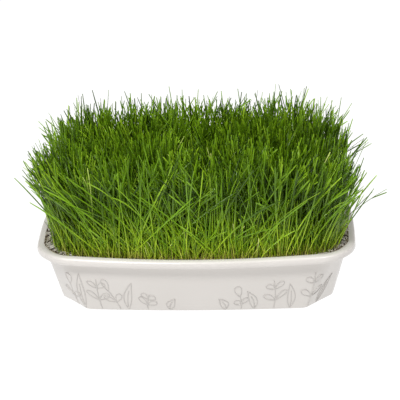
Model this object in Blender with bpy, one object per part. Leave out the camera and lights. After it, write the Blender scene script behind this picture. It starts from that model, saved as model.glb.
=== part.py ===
# Wheatgrass tray: a shallow white glazed tray with a rolled rim, filled with
# growing medium, a mat of roots and grains, and a dense sward of wheatgrass.
# Metres, +Z up. The origin is the middle of the tray's flat underside, and
# the long sides face -Y (front) and +Y (back).

import math
import random

import bmesh
import bpy
import numpy as np
from mathutils import Vector

MM = 0.001

# Tray, outside sizes over the rim
TRAY_LENGTH = 300 * MM
TRAY_WIDTH = 200 * MM
TRAY_HEIGHT = 60 * MM
RIM_CORNER_RADIUS = 29 * MM
RIM_BOW_LONG = 14 * MM
RIM_BOW_SHORT = 5 * MM
BASE_BOW_LONG = 5.2 * MM
BASE_BOW_SHORT = 2.2 * MM
BASE_CORNER_CUT = 21 * MM
WALL_THICKNESS = 4.6 * MM
FLOOR_THICKNESS = 5 * MM
FOOT_ROUND = 1.6 * MM
FLOOR_COVE = 4 * MM
SMALLEST_RADIUS = 3 * MM

# The tray's section, as (inset from the rim's outermost line, height)
BASE_INSET = 20.5 * MM
NECK_INSET = 8.8 * MM
NECK_HEIGHT = 49.5 * MM
FLANGE_SECTION = [
    (7.8 * MM, 51.6 * MM),
    (5.6 * MM, 52.8 * MM),
    (2.4 * MM, 53.3 * MM),
    (0.6 * MM, 54.5 * MM),
    (0.0 * MM, 56.6 * MM),
    (0.8 * MM, 58.8 * MM),
    (3.2 * MM, 60.0 * MM),
    (6.2 * MM, 59.8 * MM),
    (8.8 * MM, 58.4 * MM),
    (11.4 * MM, 55.2 * MM),
]

# What stands in the tray
CLEARANCE = 0.4 * MM
SOIL_TOP = 42 * MM
MAT_TOP = 54 * MM
MAT_SWELL = 1.0 * MM
SWARD_MARGIN = 6.3 * MM
SWARD_FLOOR = 47.5 * MM
SWARD_CORE_TOP = 56 * MM
SWARD_TAPER = 1.3 * MM
MAT_SHOULDER = 0.6 * MM
MAT_LEDGE = 1.5 * MM

# Grains that lie half sunk in the mat, round the sward
GRAIN_LENGTH = 6.4 * MM
GRAIN_WIDTH = 3.1 * MM
GRAIN_SINK = 1.4 * MM
GRAIN_COUNT = 60
GRAIN_SIDES = 5
GRAIN_BELLY = 0.26
GRAIN_SHIFT = 0.28
GRAIN_TURN = 0.6
GRAIN_PITCH = 0.2
GRAIN_ASIDE = 1.0 * MM

# Blades of grass
BLADE_SPACING = 9.2 * MM
BLADE_WIDTH = (3.2 * MM, 4.4 * MM)
BLADE_THICKNESS = 1.0 * MM
BLADE_LENGTH = (90 * MM, 111 * MM)
BLADE_ROOT = 52 * MM
BLADE_RINGS = {0.0: 0.8, 0.42: 1.0, 0.76: 0.78}
STRAIGHT_RINGS = {0.0: 0.9, 0.6: 1.0}
STRAIGHT_LEAN = 15 * MM
BLADE_GAP = 0.4 * MM
BLADE_BEND = (1.3, 1.9)
FAN_LEFT = 30 * MM
FAN_LEFT_BACK = -4 * MM
FAN_RIGHT = 36 * MM
FAN_FRONT = 10 * MM
FAN_BACK = 16 * MM
FAN_POWER = 2.4
SCATTER = 11 * MM
SCATTER_LIMIT = 1.8
STRAY_SHARE = 0.2
STRAY_LEAN = 30 * MM
STRAY_REACH = 0.7
LEAN_LIMIT = 0.75
ROOT_JITTER = 2 * MM
ROW_SHARE = 0.9
TRIES = 24
LEVELS = 9

CORNER_STEPS = 3
LONG_STEPS = 10
SHORT_STEPS = 7
EIGHTH_TURN = math.pi / 4
HALF_CHAMFER = 2 - math.sqrt(2)


def clear_scene():
    for thing in list(bpy.data.objects):
        bpy.data.objects.remove(thing)


def material(name, color, roughness, metallic=0.0):
    made = bpy.data.materials.new(name)
    made.use_nodes = True
    shader = made.node_tree.nodes["Principled BSDF"]
    shader.inputs["Base Color"].default_value = (*color, 1)
    shader.inputs["Roughness"].default_value = roughness
    shader.inputs["Metallic"].default_value = metallic
    return made


def outline(inset, height, wall=0.0):
    """Points of the tray's plan at an inset and height, anticlockwise.

    The plan is an octagon with rounded corners and bowed sides. At the rim
    its four corners are plain quarter rounds, and lower down each is cut
    across. wall shifts the whole line inwards, as for the inside face."""
    low = 1 - min(max(height / TRAY_HEIGHT, 0), 1)
    bow_long = RIM_BOW_LONG + (BASE_BOW_LONG - RIM_BOW_LONG) * low
    bow_short = RIM_BOW_SHORT + (BASE_BOW_SHORT - RIM_BOW_SHORT) * low
    half_x = TRAY_LENGTH / 2 - inset - wall - bow_short
    half_y = TRAY_WIDTH / 2 - inset - wall - bow_long
    depth = inset + wall
    radius = max(RIM_CORNER_RADIUS - depth, SMALLEST_RADIUS)
    cut = RIM_CORNER_RADIUS / (1 + math.sqrt(0.5)) + BASE_CORNER_CUT * low
    cut = max(cut - HALF_CHAMFER * depth, radius / (1 + math.sqrt(0.5)))
    corners = [
        Vector((half_x - cut, -half_y)),
        Vector((half_x, -half_y + cut)),
        Vector((half_x, half_y - cut)),
        Vector((half_x - cut, half_y)),
        Vector((-half_x + cut, half_y)),
        Vector((-half_x, half_y - cut)),
        Vector((-half_x, -half_y + cut)),
        Vector((-half_x + cut, -half_y)),
    ]
    points = []
    for i, corner in enumerate(corners):
        points += rounded_corner(corners[i - 1], corner, corners[(i + 1) % 8], radius)
        steps = {1: SHORT_STEPS, 3: LONG_STEPS, 5: SHORT_STEPS, 7: LONG_STEPS}.get(i, 1)
        tangent = radius * math.tan(EIGHTH_TURN / 2)
        following = corners[(i + 1) % 8]
        run = (corner - following).normalized() * tangent
        start, end = points[-1], following + run
        points += [start.lerp(end, k / steps) for k in range(1, steps)]
    return [bowed(p, half_x, half_y, bow_short, bow_long) for p in points]


def rounded_corner(before, corner, after, radius):
    """The arc that rounds one corner of the octagon."""
    towards_before = (before - corner).normalized()
    towards_after = (after - corner).normalized()
    middle = (towards_before + towards_after).normalized()
    centre = corner + middle * radius / math.cos(EIGHTH_TURN / 2)
    tangent = radius * math.tan(EIGHTH_TURN / 2)
    first = corner + towards_before * tangent - centre
    start = math.atan2(first.y, first.x)
    arc = []
    for k in range(CORNER_STEPS + 1):
        angle = start + EIGHTH_TURN * k / CORNER_STEPS
        arc.append(centre + radius * Vector((math.cos(angle), math.sin(angle))))
    return arc


def bowed(p, half_x, half_y, bow_short, bow_long):
    """A point of the straight-sided plan moved out by the sides' bow."""
    across = math.cos(min(abs(p.x) / half_x, 1) * math.pi / 2)
    along = math.cos(min(abs(p.y) / half_y, 1) * math.pi / 2)
    out_y = math.copysign(bow_long * across * (p.y / half_y) ** 2, p.y)
    out_x = math.copysign(bow_short * along * (p.x / half_x) ** 2, p.x)
    return Vector((p.x + out_x, p.y + out_y))


def wall_inset(height):
    """Inset of the tray's outer wall at a height below the neck."""
    return BASE_INSET + (NECK_INSET - BASE_INSET) * height / NECK_HEIGHT


def inner_inset(height):
    """Inset of the tray's inner face, from the floor's edge to the rim."""
    if height <= NECK_HEIGHT:
        return wall_inset(height) + WALL_THICKNESS
    lip_inset, lip_height = FLANGE_SECTION[-1]
    share = (height - NECK_HEIGHT) / (lip_height - NECK_HEIGHT)
    return (NECK_INSET + WALL_THICKNESS) * (1 - share) + lip_inset * share


def skin(bm, rings, close_first=True, close_last=True):
    """Faces between rings of the same number of points, and the two ends."""
    made = [[bm.verts.new(p) for p in ring] for ring in rings]
    for lower, upper in zip(made, made[1:]):
        for i in range(len(lower)):
            j = (i + 1) % len(lower)
            bm.faces.new((lower[i], lower[j], upper[j], upper[i]))
    if close_first:
        bm.faces.new(list(reversed(made[0])))
    if close_last:
        bm.faces.new(made[-1])
    return made


def ring_at(inset, height, wall=0.0):
    return [Vector((p.x, p.y, height)) for p in outline(inset, height, wall)]


def add_object(name, bm, look, smooth=True):
    bmesh.ops.recalc_face_normals(bm, faces=bm.faces)
    mesh = bpy.data.meshes.new(name)
    bm.to_mesh(mesh)
    bm.free()
    made = bpy.data.objects.new(name, mesh)
    bpy.context.scene.collection.objects.link(made)
    mesh.materials.append(look)
    if smooth:
        mesh.shade_smooth()
        mesh.set_sharp_from_angle(angle=math.radians(35))
    return made


def make_tray(glaze):
    """One shell: flat foot, sloping wall, rolled rim, inside face and floor."""
    section = [
        (BASE_INSET + FOOT_ROUND, 0.0),
        (BASE_INSET + 0.3 * FOOT_ROUND, 0.3 * FOOT_ROUND),
        (wall_inset(FOOT_ROUND), FOOT_ROUND),
        (wall_inset(NECK_HEIGHT / 2), NECK_HEIGHT / 2),
        (NECK_INSET, NECK_HEIGHT),
        *FLANGE_SECTION,
    ]
    rings = [ring_at(inset, height) for inset, height in section]
    for height in (NECK_HEIGHT, NECK_HEIGHT / 2, FLOOR_THICKNESS + FLOOR_COVE):
        rings.append(ring_at(wall_inset(height), height, WALL_THICKNESS))
    floor_edge = wall_inset(FLOOR_THICKNESS) + FLOOR_COVE
    cove_height = FLOOR_THICKNESS + 0.3 * FLOOR_COVE
    rings.append(ring_at(floor_edge - 0.6 * FLOOR_COVE, cove_height, WALL_THICKNESS))
    rings.append(ring_at(floor_edge, FLOOR_THICKNESS, WALL_THICKNESS))
    bm = bmesh.new()
    skin(bm, rings)
    return add_object("tray", bm, glaze)


def make_soil(earth):
    """The growing medium, poured to a level top, a hair clear of the tray."""
    floor = FLOOR_THICKNESS + CLEARANCE
    gap = WALL_THICKNESS + CLEARANCE
    cove = FLOOR_COVE
    rings = [
        ring_at(wall_inset(FLOOR_THICKNESS) + cove, floor, gap),
        ring_at(wall_inset(floor) + 0.4 * cove, floor + 0.4 * cove, gap),
        ring_at(wall_inset(floor + 1.2 * cove), floor + 1.2 * cove, gap),
        ring_at(wall_inset(SOIL_TOP), SOIL_TOP, gap),
    ]
    bm = bmesh.new()
    skin(bm, rings)
    return add_object("growing_medium", bm, earth)


def mat_height(x, y):
    """The mat's top, which swells and dips a little along the edge."""
    return MAT_TOP + MAT_SWELL * (
        0.6 * math.sin(x * 90) * math.cos(y * 70) + 0.4 * math.sin(x * 210 + y * 160)
    )


def sward_inset():
    return inner_inset(MAT_TOP) + SWARD_MARGIN


def make_mat(straw):
    """The mat of roots, with a sunk bed for the sward and grains on its rim."""
    low = SOIL_TOP + CLEARANCE
    gap = WALL_THICKNESS + CLEARANCE
    edge = inner_inset(MAT_TOP) + CLEARANCE
    bed = sward_inset() - CLEARANCE
    rings = [
        ring_at(wall_inset(low), low, gap),
        ring_at(wall_inset(NECK_HEIGHT), NECK_HEIGHT - MAT_LEDGE, gap),
        raised(ring_at(edge + MAT_SHOULDER, MAT_TOP)),
        raised(ring_at((edge + bed) / 2, MAT_TOP)),
        raised(ring_at(bed, MAT_TOP)),
        ring_at(bed + 2 * MAT_SHOULDER, SWARD_FLOOR - CLEARANCE),
    ]
    bm = bmesh.new()
    skin(bm, rings)
    mat = add_object("root_mat", bm, straw)
    union_all(mat, make_grains((edge + bed) / 2), straw)
    return mat


def raised(ring):
    return [Vector((p.x, p.y, mat_height(p.x, p.y))) for p in ring]


def make_grains(inset):
    """Wheat grains half sunk along the middle of the mat's open edge."""
    draw = random.Random(11)
    line = closed_line(outline(inset, MAT_TOP))
    grains = []
    for i in range(GRAIN_COUNT):
        share = (i + draw.uniform(-GRAIN_SHIFT, GRAIN_SHIFT)) / GRAIN_COUNT
        point, heading = line(share)
        turn = heading + draw.uniform(-GRAIN_TURN, GRAIN_TURN)
        aside = draw.uniform(-GRAIN_ASIDE, GRAIN_ASIDE)
        x = point.x - math.sin(heading) * aside
        y = point.y + math.cos(heading) * aside
        z = mat_height(x, y) + GRAIN_WIDTH / 2 - GRAIN_SINK
        bm = bmesh.new()
        grain(bm, Vector((x, y, z)), turn, draw.uniform(-GRAIN_PITCH, GRAIN_PITCH))
        grains.append(loose_object("grain", bm))
    return grains


def closed_line(points):
    """A function that gives the point and heading at a share of the way round."""
    steps = [(points[(i + 1) % len(points)] - p).length for i, p in enumerate(points)]
    total = sum(steps)

    def at(share):
        left = (share % 1) * total
        for i, step in enumerate(steps):
            if left <= step:
                break
            left -= step
        start, end = points[i], points[(i + 1) % len(points)]
        way = end - start
        return start.lerp(end, left / step), math.atan2(way.y, way.x)

    return at


def grain(bm, centre, turn, pitch):
    """One plump grain: a ring of points near each end, and two tips."""
    along = Vector((math.cos(turn), math.sin(turn), pitch)).normalized()
    side = along.cross(Vector((0, 0, 1))).normalized()
    up = side.cross(along)
    rings = []
    for share in (-GRAIN_BELLY, GRAIN_BELLY):
        ring = []
        for k in range(GRAIN_SIDES):
            angle = 2 * math.pi * k / GRAIN_SIDES
            offset = side * math.cos(angle) + up * math.sin(angle)
            spot = centre + along * share * GRAIN_LENGTH + offset * GRAIN_WIDTH / 2
            ring.append(spot)
        rings.append(ring)
    tips = [centre - along * GRAIN_LENGTH / 2, centre + along * GRAIN_LENGTH / 2]
    made = skin(bm, rings, False, False)
    low, high = (bm.verts.new(tip) for tip in tips)
    for k in range(GRAIN_SIDES):
        j = (k + 1) % GRAIN_SIDES
        bm.faces.new((low, made[0][j], made[0][k]))
        bm.faces.new((high, made[1][k], made[1][j]))


def loose_object(name, bm):
    """A helper that a Boolean takes in and that is removed afterwards."""
    bmesh.ops.recalc_face_normals(bm, faces=bm.faces)
    mesh = bpy.data.meshes.new(name)
    bm.to_mesh(mesh)
    bm.free()
    return bpy.data.objects.new(name, mesh)


def union_all(body, helpers, look):
    """Joins the helpers to the body as one closed solid."""
    group = bpy.data.collections.new(body.name + "_pieces")
    bpy.context.scene.collection.children.link(group)
    for helper in helpers:
        group.objects.link(helper)
    joined = body.modifiers.new("join", "BOOLEAN")
    joined.operation = "UNION"
    joined.operand_type = "COLLECTION"
    joined.collection = group
    joined.solver = "MANIFOLD"
    bpy.context.view_layer.update()
    graph = bpy.context.evaluated_depsgraph_get()
    mesh = bpy.data.meshes.new_from_object(body.evaluated_get(graph))
    body.modifiers.clear()
    body.data = mesh
    mesh.materials.clear()
    mesh.materials.append(look)
    for helper in helpers:
        bpy.data.objects.remove(helper)
    bpy.data.collections.remove(group)


def inside(point, loop):
    """True if a plan point lies inside a closed loop of points."""
    hit = False
    for i, a in enumerate(loop):
        b = loop[i - 1]
        if (a.y > point.y) != (b.y > point.y):
            if point.x < (b.x - a.x) * (point.y - a.y) / (b.y - a.y) + a.x:
                hit = not hit
    return hit


def lean_of(x, y, draw):
    """How far a blade's tip leans from its root: a fan, scatter and strays."""
    across = x / (TRAY_LENGTH / 2 - sward_inset())
    along = y / (TRAY_WIDTH / 2 - sward_inset())
    to_back = (along + 1) / 2
    fan_left = FAN_LEFT + (FAN_LEFT_BACK - FAN_LEFT) * to_back
    fan_x = (FAN_RIGHT if x > 0 else fan_left) * math.copysign(abs(across) ** FAN_POWER, x)
    fan_y = (FAN_BACK if y > 0 else FAN_FRONT) * along * abs(along)
    aside, ahead = (held(draw.gauss(0, 1), SCATTER_LIMIT) * SCATTER for _ in range(2))
    lean = Vector((fan_x + aside, fan_y + 0.6 * ahead))
    if abs(across) < STRAY_REACH and draw.random() < STRAY_SHARE:
        lean.x += draw.choice((-1, 1)) * STRAY_LEAN
    return lean


def held(value, limit):
    return max(-limit, min(value, limit))


class Blade:
    """One blade: its root, how it leans, and its width, length and facing."""

    def __init__(self, x, y, draw):
        self.root = Vector((x, y, BLADE_ROOT))
        self.lean = lean_of(x, y, draw)
        self.length = draw.uniform(*BLADE_LENGTH)
        reach = min(self.lean.length, LEAN_LIMIT * self.length)
        self.lean = self.lean.normalized() * reach
        self.rise = math.sqrt(self.length**2 - reach**2)
        self.width = draw.uniform(*BLADE_WIDTH)
        self.facing = draw.uniform(-0.5, 0.5) * math.pi
        self.bend = draw.uniform(*BLADE_BEND)

    def at(self, share):
        """The centreline at a share of the rise."""
        out = self.lean * share**self.bend
        return self.root + Vector((out.x, out.y, self.rise * share))

    def levels(self):
        return np.array([self.at(k / LEVELS)[:] for k in range(LEVELS + 1)])

    def mesh(self):
        """A three-sided blade: a flat face, a keel behind it, and a point."""
        across = Vector((math.cos(self.facing), math.sin(self.facing), 0))
        behind = Vector((-across.y, across.x, 0)) * BLADE_THICKNESS
        straight = self.lean.length < STRAIGHT_LEAN
        bm = bmesh.new()
        rings = []
        for share, taper in (STRAIGHT_RINGS if straight else BLADE_RINGS).items():
            middle = self.at(share)
            half = across * self.width * taper / 2
            rings.append([middle - half, middle + half, middle + behind])
        made = [[bm.verts.new(p) for p in ring] for ring in rings]
        tip = bm.verts.new(self.at(1))
        for lower, upper in zip(made, made[1:]):
            for i in range(3):
                j = (i + 1) % 3
                bm.faces.new((lower[i], lower[j], upper[j]))
                bm.faces.new((lower[i], upper[j], upper[i]))
        for i in range(3):
            bm.faces.new((made[-1][i], made[-1][(i + 1) % 3], tip))
        bm.faces.new(list(reversed(made[0])))
        return bm


def clear_by(blade, others, widths):
    """The least gap between a blade and those already placed."""
    if not len(others):
        return 1.0
    mine = blade.levels()
    apart = np.linalg.norm(others[:, :, :2] - mine[None, :, :2], axis=2)
    return float((apart - (widths[:, None] + blade.width) / 2).min())


def place_blades():
    """Blades on a jittered grid, each drawn again until it clears the rest."""
    draw = random.Random(5)
    loop = outline(sward_inset() + 2 * SWARD_TAPER, SWARD_CORE_TOP)
    blades, levels, widths = [], [], []
    row_count = math.ceil(TRAY_WIDTH / BLADE_SPACING / 2)
    column_count = math.ceil(TRAY_LENGTH / BLADE_SPACING / 2)
    for row in range(-row_count, row_count + 1):
        for column in range(-column_count, column_count + 1):
            x = (column + 0.5 * (row % 2)) * BLADE_SPACING
            y = row * BLADE_SPACING * ROW_SHARE
            shift = [draw.uniform(-ROOT_JITTER, ROOT_JITTER) for _ in range(2)]
            spot = Vector((x + shift[0], y + shift[1]))
            if not inside(spot, loop):
                continue
            near = np.array(levels), np.array(widths)
            for _ in range(TRIES):
                blade = Blade(spot.x, spot.y, draw)
                if clear_by(blade, *near) > BLADE_GAP:
                    blades.append(blade)
                    levels.append(blade.levels())
                    widths.append(blade.width)
                    break
    return blades


def make_sward(green):
    """The sward: a low core of packed stems that every blade grows from."""
    inset = sward_inset()
    rings = [
        ring_at(inset + SWARD_TAPER, SWARD_FLOOR),
        ring_at(inset, MAT_TOP),
        ring_at(inset + SWARD_TAPER, SWARD_CORE_TOP),
    ]
    bm = bmesh.new()
    skin(bm, rings)
    sward = add_object("grass", bm, green, smooth=False)
    helpers = [loose_object("blade", blade.mesh()) for blade in place_blades()]
    print(len(helpers), "blades")
    union_all(sward, helpers, green)
    return sward


def main():
    clear_scene()
    glaze = material("white_glaze", (0.86, 0.85, 0.82), 0.3)
    earth = material("growing_medium", (0.09, 0.06, 0.04), 0.95)
    straw = material("roots_and_grains", (0.55, 0.47, 0.33), 0.85)
    green = material("wheatgrass", (0.13, 0.27, 0.03), 0.45)
    make_tray(glaze)
    make_soil(earth)
    make_mat(straw)
    make_sward(green)


main()
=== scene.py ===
import math

import bmesh
import bpy
from mathutils import Matrix, Vector, noise


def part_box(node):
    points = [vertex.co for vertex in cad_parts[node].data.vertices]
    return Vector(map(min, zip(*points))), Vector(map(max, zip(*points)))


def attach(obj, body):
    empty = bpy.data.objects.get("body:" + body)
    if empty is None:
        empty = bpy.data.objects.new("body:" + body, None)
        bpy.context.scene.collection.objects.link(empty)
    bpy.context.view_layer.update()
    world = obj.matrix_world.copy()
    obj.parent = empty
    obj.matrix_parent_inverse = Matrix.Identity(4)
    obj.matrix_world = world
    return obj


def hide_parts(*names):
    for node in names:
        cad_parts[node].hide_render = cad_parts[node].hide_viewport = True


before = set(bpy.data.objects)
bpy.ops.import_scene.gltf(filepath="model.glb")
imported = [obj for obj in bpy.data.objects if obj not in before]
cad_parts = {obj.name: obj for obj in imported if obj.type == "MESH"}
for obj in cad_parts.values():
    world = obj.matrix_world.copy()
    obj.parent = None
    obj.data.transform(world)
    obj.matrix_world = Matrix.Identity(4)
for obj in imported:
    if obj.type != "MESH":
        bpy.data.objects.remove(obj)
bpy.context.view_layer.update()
mm = 0.001
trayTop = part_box("tray")[1].z
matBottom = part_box("root_mat")[0].z


# Node helpers, used for the geometry trees and the materials alike

class NodeBench:
    # puts nodes in a tree and wires their inputs in the same call
    def __init__(self, tree):
        self.tree = tree

    def add(self, kind, inputs=None, **settings):
        node = self.tree.nodes.new(kind)
        for key, value in settings.items():
            setattr(node, key, value)
        for key, value in (inputs or {}).items():
            self.feed(node.inputs[key], value)
        return node

    def feed(self, socket, value):
        if isinstance(value, bpy.types.Node):
            value = value.outputs[0]
        if isinstance(value, bpy.types.NodeSocket):
            self.tree.links.new(value, socket)
        else:
            socket.default_value = value

    def math(self, operation, *values):
        node = self.add("ShaderNodeMath", operation=operation)
        for socket, value in zip(node.inputs, values):
            self.feed(socket, value)
        return node.outputs[0]

    def product(self, first, *others):
        for other in others:
            first = self.math("MULTIPLY", first, other)
        return first

    def total(self, first, *others):
        for other in others:
            first = self.math("ADD", first, other)
        return first

    def less(self, first, second):
        return self.math("SUBTRACT", first, second)

    def rest(self, share):
        return self.less(1.0, share)

    def vector(self, x, y, z):
        return self.add("ShaderNodeCombineXYZ", {"X": x, "Y": y, "Z": z}).outputs[0]

    def split(self, vector):
        return self.add("ShaderNodeSeparateXYZ", {"Vector": vector}).outputs

    def ramp(self, value, stops):
        # a colour ramp from (place, colour) stops
        node = self.add("ShaderNodeValToRGB", {"Fac": value})
        for extra in stops[2:]:
            node.color_ramp.elements.new(extra[0])
        for element, (place, color) in zip(node.color_ramp.elements, sorted(stops)):
            element.position = place
            element.color = (*color, 1)
        return node.outputs["Color"]

    def mix(self, share, first, second, blend="MIX"):
        node = self.add("ShaderNodeMix", data_type="RGBA", blend_type=blend)
        self.feed(node.inputs[0], share)
        self.feed(node.inputs[6], first)
        self.feed(node.inputs[7], second)
        return node.outputs[2]

    def spread(self, value, low, high):
        # takes a value from 0..1 to low..high
        return self.add("ShaderNodeMapRange", {"Value": value, "To Min": low, "To Max": high}).outputs[0]


class GeometryBench(NodeBench):
    # the same for geometry nodes, with seeded draws and named attributes
    def draw(self, low, high):
        self.drawn = getattr(self, "drawn", 0) + 1
        node = self.add("FunctionNodeRandomValue", data_type="FLOAT")
        node.inputs[2].default_value = low
        node.inputs[3].default_value = high
        self.feed(node.inputs[8], self.math("ADD", self.seed, self.drawn))
        return node.outputs[1]

    def chance(self, share):
        return self.math("LESS_THAN", self.draw(0.0, 1.0), share)

    def circle(self, corners):
        return self.add("GeometryNodeCurvePrimitiveCircle", {"Resolution": corners, "Radius": 0.5})

    def sweep(self, lines, profile, scale):
        # closed strips or tubes along lines
        inputs = {"Curve": lines, "Profile Curve": profile, "Fill Caps": True, "Scale": scale}
        return self.add("GeometryNodeCurveToMesh", inputs)

    def scatter(self, given):
        # seeded points on the source mesh, none closer together than the gap
        inputs = {"Mesh": given["Geometry"], "Distance Min": given["Gap"],
                  "Density Max": given["Density"], "Seed": given["Seed"]}
        return self.add("GeometryNodeDistributePointsOnFaces", inputs, distribute_method="POISSON")

    def standLines(self, points, count):
        # an upright line on each point
        line = self.add("GeometryNodeCurvePrimitiveLine", {"Start": (0, 0, 0), "End": (0, 0, 1)})
        line = self.add("GeometryNodeResampleCurve", {"Curve": line, "Count": count})
        lines = self.add("GeometryNodeInstanceOnPoints", {"Points": points, "Instance": line})
        return self.add("GeometryNodeRealizeInstances", {"Geometry": lines})

    def store(self, geometry, name, value, kind="FLOAT_VECTOR", domain="POINT"):
        inputs = {"Geometry": geometry, "Name": name, "Value": value}
        return self.add("GeometryNodeStoreNamedAttribute", inputs, data_type=kind, domain=domain)

    def recall(self, name):
        node = self.add("GeometryNodeInputNamedAttribute", {"Name": name}, data_type="FLOAT_VECTOR")
        return self.split(node.outputs["Attribute"])


def newGeometryTree(name, settings):
    # a tree with a geometry input, one input for each setting, a seed and a material
    tree = bpy.data.node_groups.new(name, "GeometryNodeTree")
    tree.interface.new_socket("Geometry", in_out="INPUT", socket_type="NodeSocketGeometry")
    for label in settings:
        kind = "NodeSocketInt" if label == "Seed" else "NodeSocketFloat"
        tree.interface.new_socket(label, in_out="INPUT", socket_type=kind)
    tree.interface.new_socket("Material", in_out="INPUT", socket_type="NodeSocketMaterial")
    tree.interface.new_socket("Geometry", in_out="OUTPUT", socket_type="NodeSocketGeometry")
    bench = GeometryBench(tree)
    given = bench.add("NodeGroupInput").outputs
    bench.seed = given["Seed"]
    return bench, given


def endTree(bench, given, geometry):
    real = bench.add("GeometryNodeRealizeInstances", {"Geometry": geometry})
    painted = bench.add("GeometryNodeSetMaterial", {"Geometry": real, "Material": given["Material"]})
    bench.add("NodeGroupOutput", {"Geometry": painted})
    return bench.tree


def growFrom(name, source, tree, settings, material):
    # runs a tree on a source mesh and keeps the result as a plain mesh
    piece = bpy.data.objects.new(name, source)
    bpy.context.scene.collection.objects.link(piece)
    modifier = piece.modifiers.new("Build", "NODES")
    modifier.node_group = tree
    wanted = {**settings, "Material": material}
    for socket in tree.interface.items_tree:
        if socket.item_type == "SOCKET" and socket.in_out == "INPUT" and socket.name in wanted:
            modifier[socket.identifier] = wanted[socket.name]
    depsgraph = bpy.context.evaluated_depsgraph_get()
    evaluated = piece.evaluated_get(depsgraph)
    mesh = bpy.data.meshes.new_from_object(
        evaluated, preserve_all_data_layers=True, depsgraph=depsgraph
    )
    piece.modifiers.clear()
    piece.data = mesh
    mesh.materials.clear()
    mesh.materials.append(material)
    bpy.data.meshes.remove(source)
    return piece


def meshPiece(name, bm, material, sharpAngle=40):
    bmesh.ops.recalc_face_normals(bm, faces=bm.faces)
    mesh = bpy.data.meshes.new(name)
    bm.to_mesh(mesh)
    bm.free()
    piece = bpy.data.objects.new(name, mesh)
    bpy.context.scene.collection.objects.link(piece)
    mesh.materials.append(material)
    mesh.shade_smooth()
    mesh.set_sharp_from_angle(angle=math.radians(sharpAngle))
    return piece


# Materials

def mottleGroup():
    # fine and broad unevenness that every finish here has a little of
    group = bpy.data.node_groups.new("softMottle", "ShaderNodeTree")
    for label, value in {"Scale": 200.0, "Detail": 3.0, "Contrast": 1.0}.items():
        socket = group.interface.new_socket(label, in_out="INPUT", socket_type="NodeSocketFloat")
        socket.default_value = value
    group.interface.new_socket("Mottle", in_out="OUTPUT", socket_type="NodeSocketFloat")
    bench = NodeBench(group)
    given = bench.add("NodeGroupInput").outputs
    place = bench.add("ShaderNodeTexCoord").outputs["Object"]
    grain = bench.add(
        "ShaderNodeTexNoise", {"Vector": place, "Scale": given["Scale"], "Detail": given["Detail"]}
    )
    centred = bench.less(grain.outputs[0], 0.5)
    mottle = bench.total(bench.product(centred, given["Contrast"]), 0.5)
    clamped = bench.add("ShaderNodeClamp", {"Value": mottle})
    bench.add("NodeGroupOutput", {"Mottle": clamped})
    return group


def newMaterial(name, sockets):
    # a material whose uniform values sit on the shader's own sockets
    material = bpy.data.materials.new(name)
    material.use_nodes = True
    bench = NodeBench(material.node_tree)
    shader = material.node_tree.nodes["Principled BSDF"]
    for label, value in sockets.items():
        shader.inputs[label].default_value = value
    return material, bench, shader


def mottle(bench, group, scale, detail=3.0, contrast=1.0):
    node = bench.add("ShaderNodeGroup", node_tree=group)
    for label, value in {"Scale": scale, "Detail": detail, "Contrast": contrast}.items():
        node.inputs[label].default_value = value
    return node.outputs["Mottle"]


def addBump(bench, shader, height, distance, strength=1.0):
    inputs = {"Height": height, "Distance": distance, "Strength": strength}
    bench.feed(shader.inputs["Normal"], bench.add("ShaderNodeBump", inputs).outputs["Normal"])


glazeLook = {
    "lightColor": (0.715, 0.68, 0.645),
    "darkColor": (0.69, 0.655, 0.618),
    "roughness": (0.34, 0.46),
    "coat": 0.55,
    "coatRoughness": 0.2,
    "ripple": 0.00012,
    # darkening of the relief's glaze, painted shade for its raised lines
    "reliefPaintedShade": 0.84,
}


def glazeMaterial(name, group, paintedShadeScale=1.0):
    look = glazeLook
    material, bench, shader = newMaterial(
        name, {"Coat Weight": look["coat"], "Coat Roughness": look["coatRoughness"]}
    )
    broad = mottle(bench, group, 22, 2, 1.6)
    fine = mottle(bench, group, 900, 2, 1.2)
    # a scale below one darkens the glaze, painted shade along the raised relief lines
    dark, light = ([value * paintedShadeScale for value in look[key]] for key in ("darkColor", "lightColor"))
    tone = bench.mix(broad, (*dark, 1), (*light, 1))
    bench.feed(shader.inputs["Base Color"], tone)
    bench.feed(shader.inputs["Roughness"], bench.spread(fine, *look["roughness"]))
    addBump(bench, shader, mottle(bench, group, 160, 3, 1.0), look["ripple"], 0.5)
    return material


leafLook = {
    "foot": (0.62, 0.50, 0.17),
    "base": (0.80, 0.84, 0.15),
    "low": (0.57, 0.82, 0.03),
    "middle": (0.225, 0.43, 0.013),
    "tip": (0.285, 0.515, 0.018),
    # dark end of the blade tint: partly the blades' own darker tone, partly painted shade standing in for
    # shadowed gaps
    "darkToneAndGapShade": (0.09, 0.13, 0.03),
    "fresh": (0.75, 0.82, 0.6),
    "warm": (1.5, 1.3, 1.6),
    # a near-white tint for a few blades, a painted glint
    "pale": (3.6, 2.1, 22.0),
    # painted shade for the lower parts of blades inside the sward
    "sunk": (0.06, 0.1, 0.06),
    "sunkPower": 4.0,
    "roughness": (0.16, 0.36),
    "veins": 0.00005,
    "sheen": 0.4,
    "glow": 0.08,
    "glowScale": 0.0009,
}


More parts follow.
